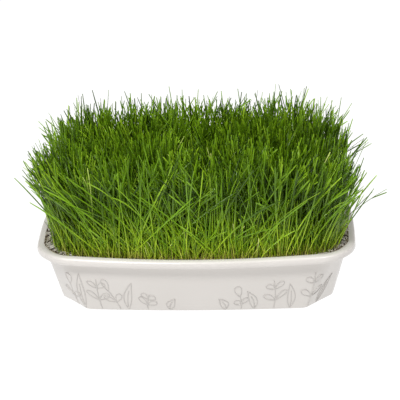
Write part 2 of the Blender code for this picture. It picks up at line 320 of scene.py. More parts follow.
def leafMaterial(group):
    look = leafLook
    material, bench, shader = newMaterial(
        "wheatgrassLeaf",
        {"Subsurface Weight": look["glow"], "Subsurface Scale": look["glowScale"],
         "Specular IOR Level": look["sheen"],
         "Subsurface Radius": (0.8, 1.0, 0.3)},
    )
    blade = bench.add("ShaderNodeAttribute", attribute_name="bladePlace").outputs["Vector"]
    along, inner, shade = bench.split(blade)
    across = bench.add("ShaderNodeAttribute", attribute_name="bladeAcross").outputs["Fac"]
    stops = [(0.0, look["foot"]), (1.0, look["tip"]), (0.09, look["base"]), (0.2, look["low"]),
             (0.55, look["middle"])]
    ground = bench.ramp(along, stops)
    # the tint's dark end gives blades of a darker tone and also paints shade where gaps between blades
    # would be
    stops = [(0.0, look["darkToneAndGapShade"]), (1.0, look["pale"]), (0.38, look["fresh"]), (0.94, look["warm"])]
    # the ramp's top stop paints a glint on the few blades with the highest shade value
    tint = bench.ramp(shade, stops)
    grip = bench.math("SMOOTH_MIN", bench.product(along, along, 1.9), 1.0, 0.2)
    color = bench.mix(grip, ground, bench.mix(1.0, ground, tint, "MULTIPLY"))
    # painted shade: the blades inside the sward darken towards their feet, where their neighbours shade
    # them
    sunk = bench.product(inner, bench.rest(bench.math("POWER", along, look["sunkPower"])))
    color = bench.mix(sunk, color, bench.mix(1.0, color, (*look["sunk"], 1), "MULTIPLY"))
    bench.feed(shader.inputs["Base Color"], color)
    bench.feed(shader.inputs["Roughness"], bench.spread(mottle(bench, group, 420), *look["roughness"]))
    stripes = bench.math("SINE", bench.product(across, 40.0))
    addBump(bench, shader, stripes, look["veins"], 0.6)
    return material


earthLook = {"dark": (0.016, 0.011, 0.008), "light": (0.09, 0.06, 0.038)}


def earthMaterial(group):
    material, bench, shader = newMaterial("growingMedium", {"Roughness": 0.92})
    crumbs = mottle(bench, group, 480, 6, 2.0)
    color = bench.mix(crumbs, (*earthLook["dark"], 1), (*earthLook["light"], 1))
    bench.feed(shader.inputs["Base Color"], color)
    addBump(bench, shader, crumbs, 0.0009)
    return material


matLook = {"dark": (0.02, 0.014, 0.008), "middle": (0.11, 0.078, 0.04), "pale": (0.36, 0.30, 0.21)}


def matMaterial(group):
    material, bench, shader = newMaterial("rootMat", {"Roughness": 0.88})
    crumbs = mottle(bench, group, 420, 6, 2.6)
    stops = [(0.25, matLook["dark"]), (0.8, matLook["pale"]), (0.5, matLook["middle"])]
    bench.feed(shader.inputs["Base Color"], bench.ramp(crumbs, stops))
    addBump(bench, shader, crumbs, 0.0011)
    return material


rootLook = {"dull": (0.30, 0.24, 0.15), "clean": (0.92, 0.90, 0.83)}


def rootMaterial(group):
    material, bench, shader = newMaterial("whiteRoots", {"Roughness": 0.62})
    patches = mottle(bench, group, 120, 3, 2.2)
    color = bench.mix(patches, (*rootLook["dull"], 1), (*rootLook["clean"], 1))
    bench.feed(shader.inputs["Base Color"], color)
    addBump(bench, shader, mottle(bench, group, 1500), 0.0001)
    return material


grainLook = {"husk": (0.40, 0.27, 0.12), "pale": (0.62, 0.50, 0.30), "brown": (0.17, 0.095, 0.04)}


def grainMaterial(group):
    material, bench, shader = newMaterial("spentGrains", {"Roughness": 0.55})
    patches = mottle(bench, group, 150, 2, 3.0)
    stops = [(0.2, grainLook["brown"]), (0.85, grainLook["pale"]), (0.5, grainLook["husk"])]
    bench.feed(shader.inputs["Base Color"], bench.ramp(patches, stops))
    addBump(bench, shader, mottle(bench, group, 1800, 4), 0.00015)
    return material


# The tray's plan is the solid's, and its rim is up to 1.1 mm fuller on the underside

trayForm = {
    "halfLength": 150 * mm,
    "halfWidth": 100 * mm,
    "cornerRadius": 29 * mm,
    "leastRadius": 3 * mm,
    "rimBowLong": 14 * mm,
    "rimBowShort": 5 * mm,
    "baseBowLong": 5.2 * mm,
    "baseBowShort": 2.2 * mm,
    "baseCornerCut": 21 * mm,
    "baseInset": 20.5 * mm,
    "neckInset": 8.8 * mm,
    "neckHeight": 49.5 * mm,
    "wall": 4.6 * mm,
    "floor": 5 * mm,
    "footRound": 1.6 * mm,
    "footFlare": 0.3 * mm,
    "cove": 4 * mm,
    "coveMiddle": (0.6, 0.3),
    "cornerSteps": 8,
    "longSteps": 44,
    "shortSteps": 28,
    "cutSteps": 4,
    "footSteps": 4,
    "rimSteps": 4,
    "wallSteps": 10,
}
rimSection = [
    (7.9, 51.4), (5.6, 52.3), (2.6, 52.5), (0.9, 53.0), (0.2, 54.2), (0.0, 56.4),
    (0.4, 58.4), (1.6, 59.6), (3.6, 60.0), (6.2, 59.8), (8.8, 58.4), (11.4, 55.2),
]  # millimetres, as inset from the rim's outermost line and height


def trayOutline(inset, height, wall=0.0):
    # an octagon with rounded corners and bowed sides, anticlockwise from the front right
    form = trayForm
    low = 1 - min(max(height / trayTop, 0), 1)
    bowLong = form["rimBowLong"] + (form["baseBowLong"] - form["rimBowLong"]) * low
    bowShort = form["rimBowShort"] + (form["baseBowShort"] - form["rimBowShort"]) * low
    depth = inset + wall
    halfX = form["halfLength"] - depth - bowShort
    halfY = form["halfWidth"] - depth - bowLong
    radius = max(form["cornerRadius"] - depth, form["leastRadius"])
    share = 1 + math.sqrt(0.5)
    cut = form["cornerRadius"] / share + form["baseCornerCut"] * low - (2 - math.sqrt(2)) * depth
    cut = max(cut, radius / share)
    corners = []
    for sideX, sideY, endFirst in ((1, -1, 1), (1, 1, 0), (-1, 1, 1), (-1, -1, 0)):
        onLong = Vector((sideX * (halfX - cut), sideY * halfY))
        onShort = Vector((sideX * halfX, sideY * (halfY - cut)))
        corners += [onLong, onShort] if endFirst else [onShort, onLong]
    stepsAfter = {1: form["shortSteps"], 3: form["longSteps"], 5: form["shortSteps"], 7: form["longSteps"]}
    tangent = radius * math.tan(math.pi / 8)
    points = []
    for i, corner in enumerate(corners):
        following = corners[(i + 1) % 8]
        points += cornerArc(corners[i - 1], corner, following, radius, tangent)
        steps = stepsAfter.get(i, form["cutSteps"])
        start, end = points[-1], following + (corner - following).normalized() * tangent
        points += [start.lerp(end, k / steps) for k in range(1, steps)]
    return [bowOut(p, halfX, halfY, bowShort, bowLong) for p in points]


def cornerArc(before, corner, after, radius, tangent):
    towardsBefore = (before - corner).normalized()
    towardsAfter = (after - corner).normalized()
    middle = (towardsBefore + towardsAfter).normalized()
    centre = corner + middle * radius / math.cos(math.pi / 8)
    first = corner + towardsBefore * tangent - centre
    start = math.atan2(first.y, first.x)
    steps = trayForm["cornerSteps"]
    angles = [start + math.pi / 4 * k / steps for k in range(steps + 1)]
    return [centre + radius * Vector((math.cos(a), math.sin(a))) for a in angles]


def bowOut(p, halfX, halfY, bowShort, bowLong):
    acrossShare = math.cos(min(abs(p.x) / halfX, 1) * math.pi / 2)
    alongShare = math.cos(min(abs(p.y) / halfY, 1) * math.pi / 2)
    outY = math.copysign(bowLong * acrossShare * (p.y / halfY) ** 2, p.y)
    outX = math.copysign(bowShort * alongShare * (p.x / halfX) ** 2, p.x)
    return Vector((p.x + outX, p.y + outY))


def wallInset(height):
    form = trayForm
    return form["baseInset"] + (form["neckInset"] - form["baseInset"]) * height / form["neckHeight"]


def innerInset(height):
    # inset of the inside face where the mat meets it, near the rim
    form = trayForm
    if height <= form["neckHeight"]:
        return wallInset(height) + form["wall"]
    lipInset, lipHeight = (value * mm for value in rimSection[-1])
    share = (height - form["neckHeight"]) / (lipHeight - form["neckHeight"])
    return (form["neckInset"] + form["wall"]) * (1 - share) + lipInset * share


def ringAt(inset, height, wall=0.0):
    return [Vector((p.x, p.y, height)) for p in trayOutline(inset, height, wall)]


def smoothCurve(points, steps):
    # a curve through all the points, with steps stretches between each two
    ends = [points[0], *points, points[-1]]
    curve = []
    for a, b, c, d in zip(ends, ends[1:], ends[2:], ends[3:]):
        for k in range(steps):
            t = k / steps
            curve.append(
                0.5 * (2 * b + (c - a) * t + (2 * a - 5 * b + 4 * c - d) * t**2
                       + (3 * b - a - 3 * c + d) * t**3)
            )
    return [*curve, points[-1]]


def loft(bm, rings, closeFirst=True, closeLast=True):
    made = [[bm.verts.new(p) for p in ring] for ring in rings]
    for lower, upper in zip(made, made[1:]):
        for i in range(len(lower)):
            j = (i + 1) % len(lower)
            bm.faces.new((lower[i], lower[j], upper[j], upper[i]))
    if closeFirst:
        bm.faces.new(made[0][::-1])
    if closeLast:
        bm.faces.new(made[-1])


def makeTray(glaze):
    form = trayForm
    footRound, neck, cove = form["footRound"], form["neckHeight"], form["cove"]
    outside = []
    for k in range(form["footSteps"] + 1):
        # the foot's rounded edge, a quarter turn
        share = k / form["footSteps"]
        turn = math.pi / 2 * share
        inset = form["baseInset"] + footRound * (1 - math.sin(turn)) - form["footFlare"] * share
        outside.append((inset, footRound * (1 - math.cos(turn))))
    for k in range(1, form["wallSteps"] + 1):
        height = footRound + (neck - footRound) * k / form["wallSteps"]
        outside.append((wallInset(height), height))
    rim = [Vector((form["neckInset"], neck)) / mm] + [Vector(point) for point in rimSection]
    outside += [(p.x * mm, p.y * mm) for p in smoothCurve(rim, form["rimSteps"])[1:]]
    rings = [ringAt(inset, height) for inset, height in outside]
    floorEdge = wallInset(form["floor"]) + cove
    for height in (neck, neck * 0.75, neck * 0.5, neck * 0.25, form["floor"] + cove):
        rings.append(ringAt(wallInset(height), height, form["wall"]))
    outwards, up = (share * cove for share in form["coveMiddle"])
    rings.append(ringAt(floorEdge - outwards, form["floor"] + up, form["wall"]))
    rings.append(ringAt(floorEdge, form["floor"], form["wall"]))
    bm = bmesh.new()
    loft(bm, rings)
    tray = meshPiece("glazed_tray", bm, glaze)
    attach(tray, "root")
    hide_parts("tray")
    return tray


# Raised line leaves on the wall near each corner, an own design

reliefForm = {"thickness": 1.1 * mm, "foot": 2.0 * mm, "reedWidth": 3.4 * mm, "leafLength": 13.5 * mm,
              "leafWidth": 3.3 * mm, "leafSplay": 0.85, "budWidth": 4.0 * mm, "budSplay": 0.15,
              "fullHeight": 22 * mm, "loopSteps": 12}
reliefSettings = {"Thickness": reliefForm["thickness"], "Seed": 1}
rightSprays = [
    (-17, 30, -6, "reed"), (-5, 38, 5, "sprig"), (12, 27, 8, "reed"), (27, 31, 9, "sprig"),
    (45, 20, 12, "reed"), (57, 14, 5, "bud"), (71, 12, 10, "reed"),
]  # millimetres along the wall from the corner, height and lean, and the kind of plant
leftSprays = [
    (-16, 25, 4, "bud"), (-5, 39, 8, "reed"), (11, 33, 6, "sprig"), (28, 20, -4, "bud"),
    (36, 30, 13, "reed"), (54, 17, 7, "sprig"), (74, 12, 9, "reed"),
]


def leafLoop(start, heading, length, halfWidth):
    # a pointed oval from a start point along a heading, as a closed run of points
    forward = Vector((math.sin(heading), math.cos(heading)))
    aside = Vector((forward.y, -forward.x))
    steps = reliefForm["loopSteps"]
    turns = [math.tau * k / steps for k in range(steps)]
    return [
        start + forward * length * (1 - math.cos(a)) / 2 + aside * halfWidth * math.sin(a) * math.sin(a / 2)
        for a in turns
    ]


def sprayLines(kind, height, lean):
    # one plant as runs of points on the flat wall, each with whether it is closed
    form = reliefForm
    stem = [Vector((lean * (k / 10) ** 1.6, height * k / 10)) for k in range(11)]
    if kind == "reed":
        heading = math.atan2(lean, height)
        aside = Vector((math.cos(heading), -math.sin(heading))) * form["reedWidth"]
        widths = [math.sin(math.pi * (k / 10) ** 0.8) for k in range(11)]
        loop = [p + aside * w for p, w in zip(stem, widths)]
        loop += [p - aside * w for p, w in zip(stem[9:0:-1], widths[9:0:-1])]
        return [(loop, True), (stem[1:8], False)]
    lines = [(stem, False)]
    pairs = (3, 7) if kind == "sprig" else (4,)
    for k in pairs:
        for side in (-1, 1):
            heading = math.atan2(lean, height) + side * form["leafSplay"]
            length = form["leafLength"] * (1.15 - 0.06 * k) * min(1, height / form["fullHeight"])
            lines.append((leafLoop(stem[k], heading, length, form["leafWidth"]), True))
    if kind == "bud":
        heading = math.atan2(lean, height) + form["budSplay"]
        lines.append((leafLoop(stem[10], heading, form["leafLength"], form["budWidth"]), True))
    return lines


def wallWalk(height):
    # the wall's ring at a height with the distance of each point from the front right corner
    ring = trayOutline(wallInset(height), height)
    count = len(ring) // 4
    walk = [ring[-k % len(ring)] for k in range(-count // 2, count)]
    corner = count // 2
    places = [0.0]
    for a, b in zip(walk, walk[1:]):
        places.append(places[-1] + (b - a).length)
    return walk, [place - places[corner] for place in places]


def wallPoint(along, height, walks):
    level = round(height / mm * 2)
    if level not in walks:
        walks[level] = wallWalk(level * mm / 2)
    walk, places = walks[level]
    k = next(i for i, place in enumerate(places) if place > along)
    share = (along - places[k - 1]) / (places[k] - places[k - 1])
    p = walk[k - 1].lerp(walk[k], share)
    return Vector((p.x, p.y, height))


def reliefTree():
    bench, given = newGeometryTree("reliefLines", reliefSettings)
    lines = bench.add("GeometryNodeMeshToCurve", {"Mesh": given["Geometry"]})
    return endTree(bench, given, bench.sweep(lines, bench.circle(6), given["Thickness"]))


def makeRelief(glaze):
    bm = bmesh.new()
    walks = {}
    for sideX, sprays in ((1, rightSprays), (-1, leftSprays)):
        for sideY in (1, -1):
            for along, height, lean, kind in sprays:
                for line, closed in sprayLines(kind, height * mm, lean * mm):
                    flat = [wallPoint(along * mm + p.x, reliefForm["foot"] + p.y, walks) for p in line]
                    verts = [bm.verts.new((p.x * sideX, p.y * sideY, p.z)) for p in flat]
                    for a, b in zip(verts, verts[1:] + verts[:1] if closed else verts[1:]):
                        bm.edges.new((a, b))
    source = bpy.data.meshes.new("reliefLines")
    bm.to_mesh(source)
    bm.free()
    relief = growFrom("wall_relief", source, reliefTree(), reliefSettings, glaze)
    relief.data.shade_smooth()
    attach(relief, "root")


# The root mat, its loose roots and its spent grains

matForm = {
    "top": 54 * mm,
    "swell": 1.0 * mm,
    "crumble": 1.1 * mm,
    "gap": 0.4 * mm,
    "ledge": 1 * mm,
    "ledgeGap": 0.3 * mm,
    "sideClimb": (
        (13.6, 52.0), (12.1, 55.2), (11.3, 56.2), (11.2, 56.6), (12.0, 56.6), (13.6, 55.8), (15.2, 54.9),
    ),  # millimetres, as inset and height
    "endClimb": (
        (13.6, 52.0), (12.1, 55.2), (9.0, 58.8), (6.1, 60.1), (6.4, 60.6), (10.2, 58.9), (14.4, 55.6),
    ),
    "topInsets": (16.5 * mm, 18 * mm, 20 * mm, 23 * mm),
    "marginInsets": (16.5 * mm, 19 * mm, 22 * mm),
    "bedStep": 4 * mm,
    "fringeWidth": 9 * mm,
    "rootsFrom": 118 * mm,
    "climbStart": 100 * mm,
    "climbFull": 128 * mm,
    "climbCorner": 78 * mm,
    "climbWithin": 56 * mm,
    "swardMargin": 1.9 * mm,
    "swardEnds": (-130.5 * mm, 135 * mm),
    "shares": (0.985, 0.96, 0.92, 0.86, 0.78, 0.68, 0.55, 0.4, 0.2),
}
rootSettings = {"Density": 190000.0, "Reach": 11.0 * mm, "Thickness": 0.62 * mm, "Curl": 3.0 * mm,
                "Rise": 3.0 * mm, "Seed": 4}
grainSettings = {"Density": 22000.0, "Gap": 3.0 * mm, "Grain Length": 5.6 * mm,
                 "Grain Width": 2.6 * mm, "Seed": 9}


def matHeight(x, y):
    form = matForm
    swell = 0.6 * math.sin(x * 90) * math.cos(y * 70) + 0.4 * math.sin(x * 210 + y * 160)
    crumble = noise.fractal(Vector((x, y, 0)) * 260, 1.0, 2.0, 4)
    return form["top"] + form["swell"] * swell + form["crumble"] * crumble


def matRings(insets):
    # rings over the mat's top, from near its edge to the middle
    rings = [[(p.x, p.y) for p in trayOutline(inset, matForm["top"])] for inset in insets]
    rings += [[(x * share, y * share) for x, y in rings[-1]] for share in matForm["shares"]]
    return [[Vector((x, y, matHeight(x, y))) for x, y in ring] for ring in rings]


def climbRings():
    # the mat's edge, which climbs the inside of the rim higher at the two ends
    form = matForm
    rings = []
    for (sideInset, sideHeight), (endInset, endHeight) in zip(form["sideClimb"], form["endClimb"]):
        side, end = ringAt(sideInset * mm, sideHeight * mm), ringAt(endInset * mm, endHeight * mm)
        rings.append([a.lerp(b, climbShare(a)) for a, b in zip(side, end)])
    return rings


def climbShare(p):
    form = matForm
    toEnd = (abs(p.x) - form["climbStart"]) / (form["climbFull"] - form["climbStart"])
    offCorner = (form["climbCorner"] - abs(p.y)) / (form["climbCorner"] - form["climbWithin"])
    return min(max(toEnd, 0), 1) * min(max(offCorner, 0), 1)


def makeMat(look):
    form = matForm
    neck = trayForm["neckHeight"]
    wall = trayForm["wall"] + form["gap"]
    rings = [ringAt(wallInset(matBottom), matBottom, wall)]
    rings.append(ringAt(wallInset(neck), neck - form["ledge"], wall + form["ledgeGap"]))
    rings += climbRings() + matRings(form["topInsets"])
    bm = bmesh.new()
    loft(bm, rings)
    mat = meshPiece("root_felt", bm, look)
    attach(mat, "root")
    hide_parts("root_mat")
    return mat


def sheetMesh(name, rings):
    # an open sheet on the mat's top, which the trees grow things from
    bm = bmesh.new()
    loft(bm, rings, closeFirst=False, closeLast=False)
    if sum(face.normal.z for face in bm.faces) < 0:
        bmesh.ops.reverse_faces(bm, faces=bm.faces)
    mesh = bpy.data.meshes.new(name)
    bm.to_mesh(mesh)
    bm.free()
    return mesh


def clearMiddle(mesh, fromMiddle):
    # leaves only the two ends of a sheet
    bm = bmesh.new()
    bm.from_mesh(mesh)
    middle = [face for face in bm.faces if abs(face.calc_center_median().x) < fromMiddle]
    bmesh.ops.delete(bm, geom=middle, context="FACES")
    bm.to_mesh(mesh)
    bm.free()


def rootTree():
    # short curled threads that lie on the mat and run into each other
    bench, given = newGeometryTree("looseRoots", rootSettings)
    points = bench.add("GeometryNodeDistributePointsOnFaces",
                       {"Mesh": given["Geometry"], "Density": given["Density"], "Seed": given["Seed"]})
    xyz = bench.split(bench.add("GeometryNodeInputPosition"))
    inwards = bench.math("ARCTAN2", bench.product(xyz[1], -1.6), bench.product(xyz[0], -1.0))
    heading = bench.total(inwards, bench.draw(-1.35, 1.35))
    reach = bench.product(given["Reach"], bench.draw(0.35, 1.0))
    rise = bench.product(given["Rise"], bench.draw(0.0, 1.0), bench.draw(0.2, 1.0))
    placed = bench.store(points, "rootRun", bench.vector(heading, reach, rise))
    curl = bench.product(given["Curl"], bench.draw(-1.0, 1.0))
    placed = bench.store(placed, "rootCurl", bench.vector(curl, bench.draw(0.0, math.tau), 0.0))
    threads = bench.standLines(placed, 6)
    share = bench.add("GeometryNodeSplineParameter").outputs["Factor"]
    heading, reach, rise = bench.recall("rootRun")
    curl, phase, _ = bench.recall("rootCurl")
    wave = bench.math("SINE", bench.total(bench.product(share, 5.5), phase))
    aside = bench.product(curl, wave, share)
    ahead = bench.product(reach, share)
    cosine, sine = bench.math("COSINE", heading), bench.math("SINE", heading)
    x = bench.less(bench.product(ahead, cosine), bench.product(aside, sine))
    y = bench.math("ADD", bench.product(ahead, sine), bench.product(aside, cosine))
    arch = bench.math("SINE", bench.product(share, math.pi))
    z = bench.less(bench.total(bench.product(rise, arch), -0.2 * mm), share)
    threads = bench.add("GeometryNodeSetPosition", {"Geometry": threads, "Offset": bench.vector(x, y, z)})
    taper = bench.less(1.15, bench.product(share, 0.7))
    thickness = bench.product(taper, given["Thickness"])
    return endTree(bench, given, bench.sweep(threads, bench.circle(4), thickness))


def grainTree():
    # plump grains that lie half sunk in the mat, at every turn
    bench, given = newGeometryTree("spentGrainsTree", grainSettings)
    points = bench.scatter(given)
    ball = bench.add("GeometryNodeMeshUVSphere", {"Segments": 8, "Rings": 7, "Radius": 0.5})
    size = bench.vector(given["Grain Length"], given["Grain Width"], given["Grain Width"])
    ball = bench.add("GeometryNodeTransform", {"Geometry": ball, "Scale": size})
    turn = bench.vector(bench.draw(0.0, math.tau), bench.draw(-0.45, 0.45), bench.draw(0.0, math.tau))
    grains = bench.add("GeometryNodeInstanceOnPoints",
                       {"Points": points, "Instance": ball, "Rotation": turn,
                        "Scale": bench.draw(0.72, 1.05)})
    return endTree(bench, given, grains)


def makeRootsAndGrains(rootSkin, grainSkin):
    inner = matRings(matForm["marginInsets"])
    margin = sheetMesh("marginForRoots", climbRings()[3:] + inner[:2])
    clearMiddle(margin, matForm["rootsFrom"])
    roots = growFrom("loose_roots", margin, rootTree(), rootSettings, rootSkin)
    margin = sheetMesh("marginForGrains", climbRings()[6:] + inner[:3])
    grains = growFrom("spent_grains", margin, grainTree(), grainSettings, grainSkin)
    for piece in (roots, grains):
        piece.data.shade_smooth()
        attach(piece, "root")


# The sward, several thousand shoots, more than half with a second leaf

bladeSettings = {
    "Density": 290000.0,
    "Gap": 1.2 * mm,
    "Length": 104 * mm,
    "High Rise": 113 * mm,
    "Single Spread": 0.24,
    "Tuft Spread": 0.36,
    "Left Drop Front": 0.03,
    "Left Drop Middle": 0.05,
    "Left Drop Back": 0.0,
    "Right Drop Front": 0.28,
    "Right Drop Back": 0.0,
    "Width": 1.48 * mm,
    "Half Length": 131 * mm,
    "Half Width": 81 * mm,
    "Fan Left Front": 27 * mm,
    "Fan Left Back": -24 * mm,
    "Rare Share": 0.08,
    "Fan Right Front": 54 * mm,
    "Fan Right Back": -4 * mm,
    "Fan Front": 3 * mm,
    "Fan Back": 8 * mm,
    "Scatter": 66 * mm,
    "Outward Brake": 0.86,
    "Tuft Lean": 84 * mm,
    "Tuft Scale": 24.0,
    "Stray Share": 0.34,
    "Stray Lean": 70 * mm,
    "Young Share": 0.34,
    "Second Share": 0.6,
    "Fork": 28 * mm,
    "Low X": -161 * mm,
    "High X": 179 * mm,
    "Low Y": -95 * mm,
    "High Y": 96 * mm,
    "Root Depth": 2.5 * mm,
    "Edge Share": 0.28,
    "Seed": 21,
}
bladePoints = 9
swardBands = (-1.0, -0.5, 0.0, 0.5, 1.0)  # shares of the half width, from the front to the back
fringeSettings = {**bladeSettings, "Density": 420000.0, "Gap": 0.9 * mm, "Length": 66 * mm,
                  "Width": 1.2 * mm, "Young Share": 0.75, "Stray Share": 0.04, "Second Share": 0.0,
                  "Scatter": 22 * mm, "Fan Left Front": 6 * mm, "Fan Left Back": 0.0,
                  "Fan Right Front": 14 * mm, "Fan Right Back": 4 * mm, "Tuft Lean": 50 * mm, "Seed": 77}


bladeHabit = {
    "leftShare": (0.1, 1.3),
    "leftRare": 3.2,
    "leftPower": 2.5,
    "rightShare": (0.0, 1.1),
    "rightRare": 2.8,
    "rightPower": 5.0,
    "depthPower": 3.0,
    "calmerRight": 0.45,
    "tuftDepth": 0.7,
    "fade": (0.2, 1.0),
    "strayShare": (0.5, 1.2),
    "brakePower": 2.6,
    "single": (-1.0, 0.6),
    "dropPower": 3.0,
    "youngDrop": (0.3, 0.72),
    "leftLimit": (0.8, 1.0),
    "rightLimit": (0.86, 1.02),
    "longestReach": 0.68,
    "width": (0.72, 1.12),
    "youngNarrower": 0.25,
    "droop": (0.0, 0.16),
    "bend": (0.95, 1.8),
    "youngShade": 0.12,
    "facing": (-1.5, 1.5),
    "twist": (-1.2, 1.2),
    "sway": (-2.2 * mm, 2.2 * mm),
    "forkStart": (0.5, 0.82),
    "endFork": 0.25,
    "parting": 1.6,
    "secondLower": 0.12,
    "taper": ((0.0, 0.55), (0.14, 0.62), (0.55, 1.0), (0.92, 0.9), (1.0, 0.58)),
    "fold": (1.15, 0.46, 1.0),
    "sharpAngle": 50,
}


def oneSided(bench, share, power):
    return bench.math("POWER", bench.math("MAXIMUM", share, 0.0), power)


def blend(bench, share, low, high):
    return bench.total(bench.product(bench.rest(share), low), bench.product(share, high))


def swardLean(bench, given, across, along, tuft):
    # a fan over the edges, tufts that lean together, single scatter and strays
    habit = bladeHabit
    toBack = bench.spread(bench.product(bench.total(along, 1.0), 0.5), 0.0, 1.0)
    toLeft = bench.product(across, -1.0)
    isRare = bench.chance(given["Rare Share"])
    leftFan = blend(bench, toBack, given["Fan Left Front"], given["Fan Left Back"])
    own = bench.total(bench.draw(*habit["leftShare"]), bench.product(isRare, habit["leftRare"]))
    leftFan = bench.product(oneSided(bench, toLeft, habit["leftPower"]), leftFan, -1.0, own)
    rightFan = blend(bench, oneSided(bench, toBack, 0.5), given["Fan Right Front"], given["Fan Right Back"])
    own = bench.total(bench.draw(*habit["rightShare"]), bench.product(isRare, habit["rightRare"]))
    rightFan = bench.product(oneSided(bench, across, habit["rightPower"]), rightFan, own)
    toFront = oneSided(bench, bench.product(along, -1.0), habit["depthPower"])
    frontFan = bench.product(toFront, given["Fan Front"], -1.0)
    backFan = bench.product(oneSided(bench, along, habit["depthPower"]), given["Fan Back"])
    red, green, _ = tuft
    unrest = bench.rest(bench.product(across, habit["calmerRight"]))
    tuftX = bench.product(bench.less(red, 0.5), given["Tuft Lean"], unrest)
    tuftY = bench.product(bench.less(green, 0.5), given["Tuft Lean"], habit["tuftDepth"])
    scatterX = bench.product(given["Scatter"], bench.draw(-1.0, 1.0), bench.draw(*habit["fade"]))
    scatterY = bench.product(given["Scatter"], bench.draw(-0.7, 0.7), bench.draw(*habit["fade"]))
    isStray = bench.chance(bench.product(given["Stray Share"], unrest))
    way = bench.math("SIGN", bench.total(bench.draw(-1.1, 0.9), bench.product(across, 0.4)))
    stray = bench.product(isStray, way, given["Stray Lean"], bench.draw(*habit["strayShare"]))
    loose = bench.total(tuftX, scatterX, stray)
    outward = bench.math("GREATER_THAN", bench.product(loose, across), 0.0)
    nearEdge = bench.math("POWER", bench.math("ABSOLUTE", across), habit["brakePower"])
    brake = bench.rest(bench.product(outward, nearEdge, given["Outward Brake"]))
    leanX = bench.total(leftFan, rightFan, bench.product(loose, brake))
    leanY = bench.total(frontFan, backFan, tuftY, scatterY)
    return leanX, leanY, toBack


def heldWithin(bench, start, lean, low, high):
    # a lean that keeps the tip between two lines
    tip = bench.math("MINIMUM", bench.math("MAXIMUM", bench.total(start, lean), low), high)
    return bench.less(tip, start)


def swardLength(bench, given, across, toBack, tuftHeight, isYoung):
    habit = bladeHabit
    single = bench.product(given["Single Spread"], bench.draw(*habit["single"]), bench.draw(*habit["fade"]))
    shared = bench.product(bench.less(tuftHeight, 0.5), given["Tuft Spread"])
    leftDrop = blend(bench, toBack, given["Left Drop Front"], given["Left Drop Back"])
    middle = bench.product(toBack, bench.rest(toBack), 4.0)
    leftDrop = bench.total(leftDrop, bench.product(middle, given["Left Drop Middle"]))
    toLeft = oneSided(bench, bench.product(across, -1.0), habit["dropPower"])
    leftDrop = bench.product(toLeft, leftDrop, -1.0)
    rightDrop = blend(bench, toBack, given["Right Drop Front"], given["Right Drop Back"])
    rightDrop = bench.product(oneSided(bench, across, habit["dropPower"]), rightDrop, -1.0)
    grown = bench.total(1.0, single, shared, leftDrop, rightDrop)
    young = bench.rest(bench.product(isYoung, bench.draw(*habit["youngDrop"])))
    return bench.product(given["Length"], grown, young)


